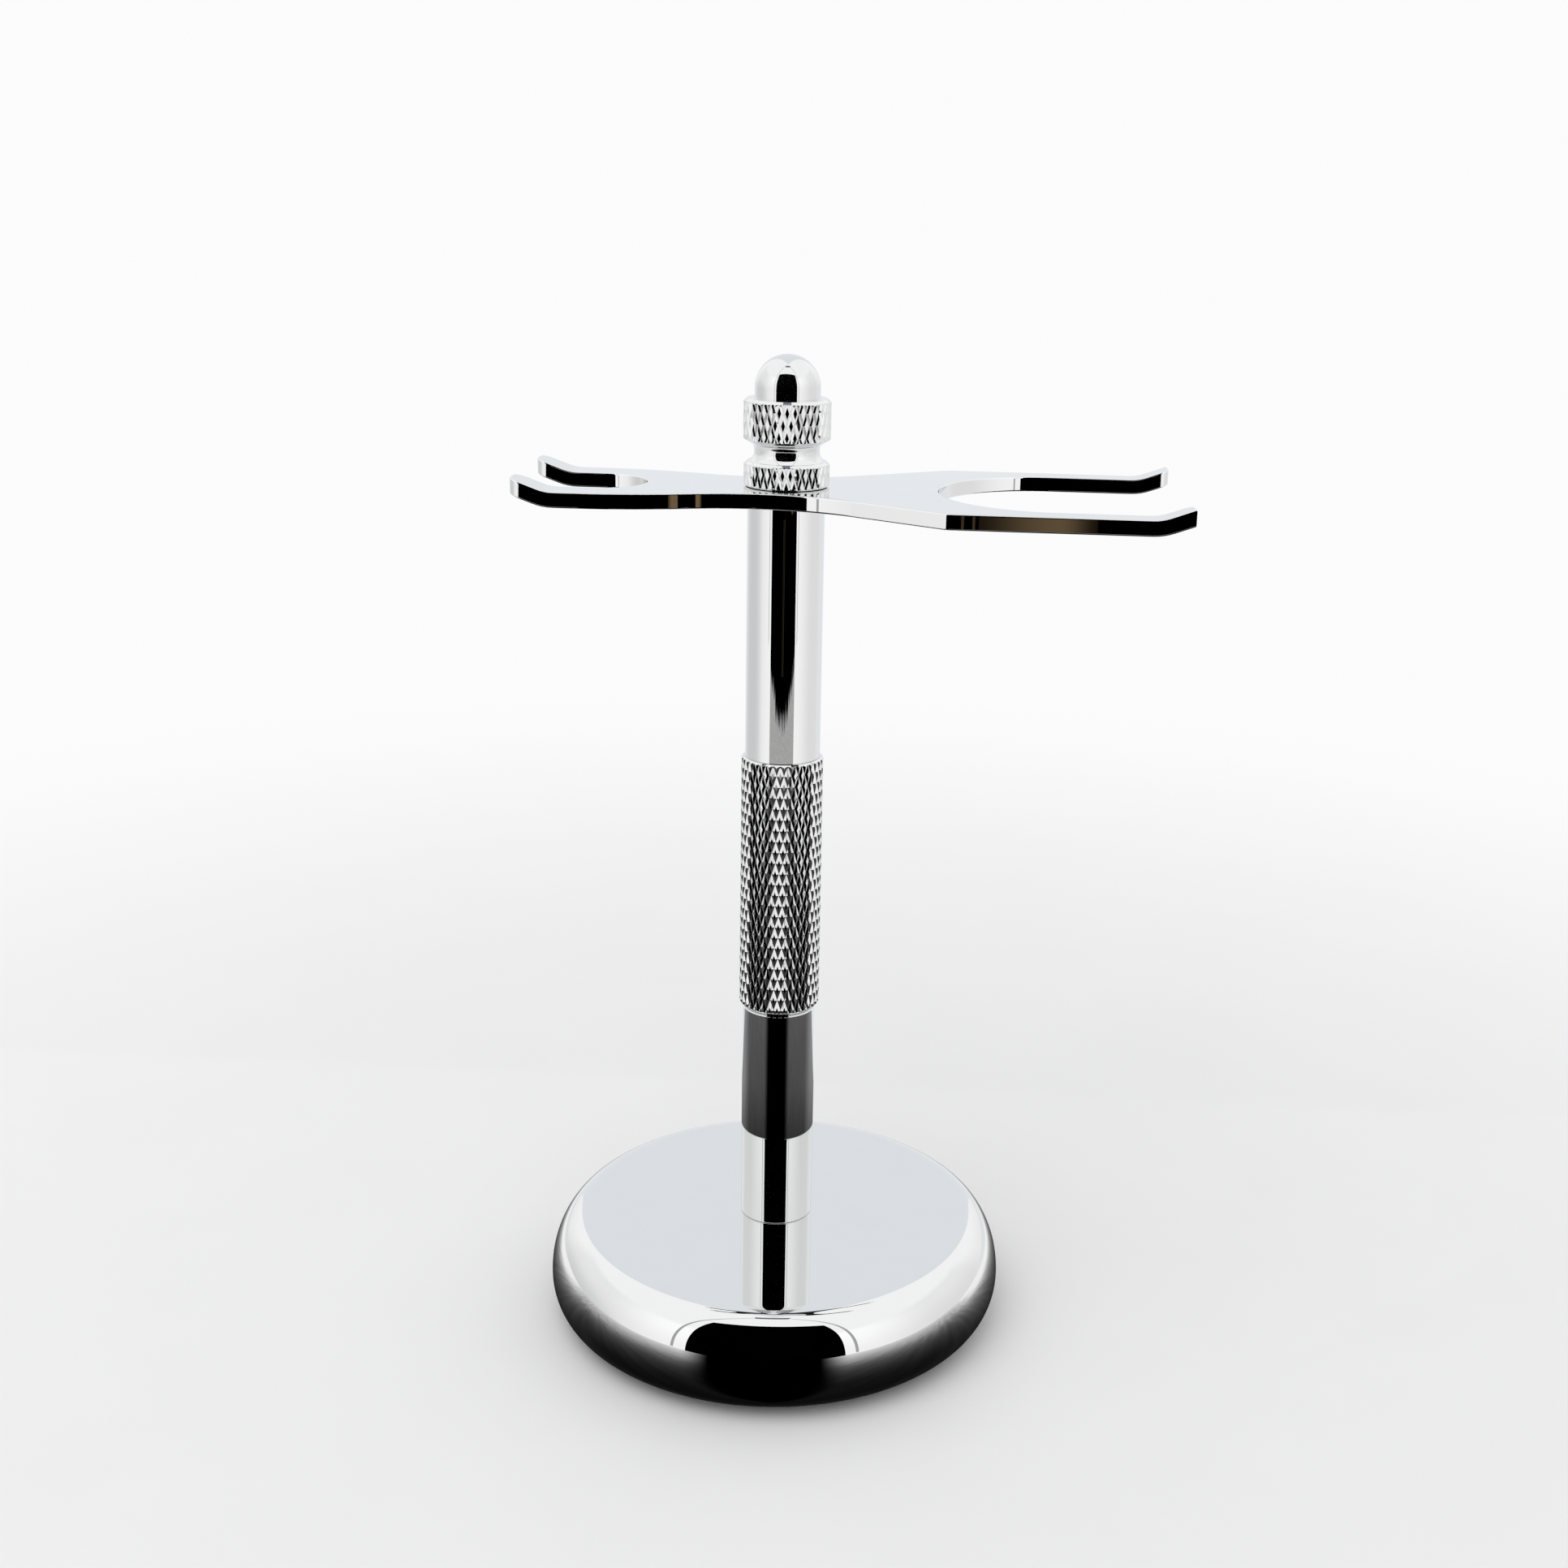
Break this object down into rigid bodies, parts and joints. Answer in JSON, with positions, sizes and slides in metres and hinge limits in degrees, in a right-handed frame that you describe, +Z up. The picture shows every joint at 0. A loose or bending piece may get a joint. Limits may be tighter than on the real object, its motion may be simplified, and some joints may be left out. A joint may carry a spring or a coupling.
{
  "type": "razor stand",
  "caption": "Chromed razor and brush stand: weighted round base, knurled post, swivelling fork plate clamped by a knurled knob.",
  "frame": {"origin": "on the post's axis at the underside of the foot pad", "axes": "+Z up along the post; the razor fork points along -X and the brush fork along +X at rest"},
  "size_m": [0.1008, 0.076, 0.1605],
  "materials": {
    "chrome": "mirror polished",
    "chrome_knurl": "polished over a diamond knurl",
    "cast_iron": "as cast, painted",
    "plated_steel": "bright zinc plated",
    "pad_rubber": "fine foam",
    "nylon": "natural"
  },
  "bodies": {
    "stand": {"base_shell": "chrome", "base_weight": "cast_iron", "foot_pad": "pad_rubber", "stem_bolt": "plated_steel", "bolt_lock_washer": "plated_steel", "bolt_flat_washer": "plated_steel", "lower_stem": "chrome", "lower_joint_stud": "plated_steel", "knurled_grip": "chrome_knurl", "upper_joint_stud": "plated_steel", "upper_stem": "chrome", "top_stud": "plated_steel"},
    "holder": {"holder_plate": "chrome"},
    "washer": {"knob_washer": "nylon"},
    "knob": {"top_knob": "chrome_knurl"}
  },
  "joints": [
    {"name": "plate_swivel", "type": "hinge", "parent": "stand", "child": "holder", "pos_m": [0, 0, 0.1393], "axis": [0, 0, 1], "continuous": true},
    {"name": "knob_lift", "type": "slide", "parent": "stand", "child": "washer", "axis": [0, 0, 1], "range_m": [0, 0.0078]},
    {"name": "knob_turn", "type": "hinge", "parent": "washer", "child": "knob", "pos_m": [0, 0, 0.145], "axis": [0, 0, 1], "range_deg": [0, 2790]}
  ],
  "couplings": [
    {"joint": "knob_lift", "follows": "knob_turn", "m_per_rad": 0.00015915}
  ]
}
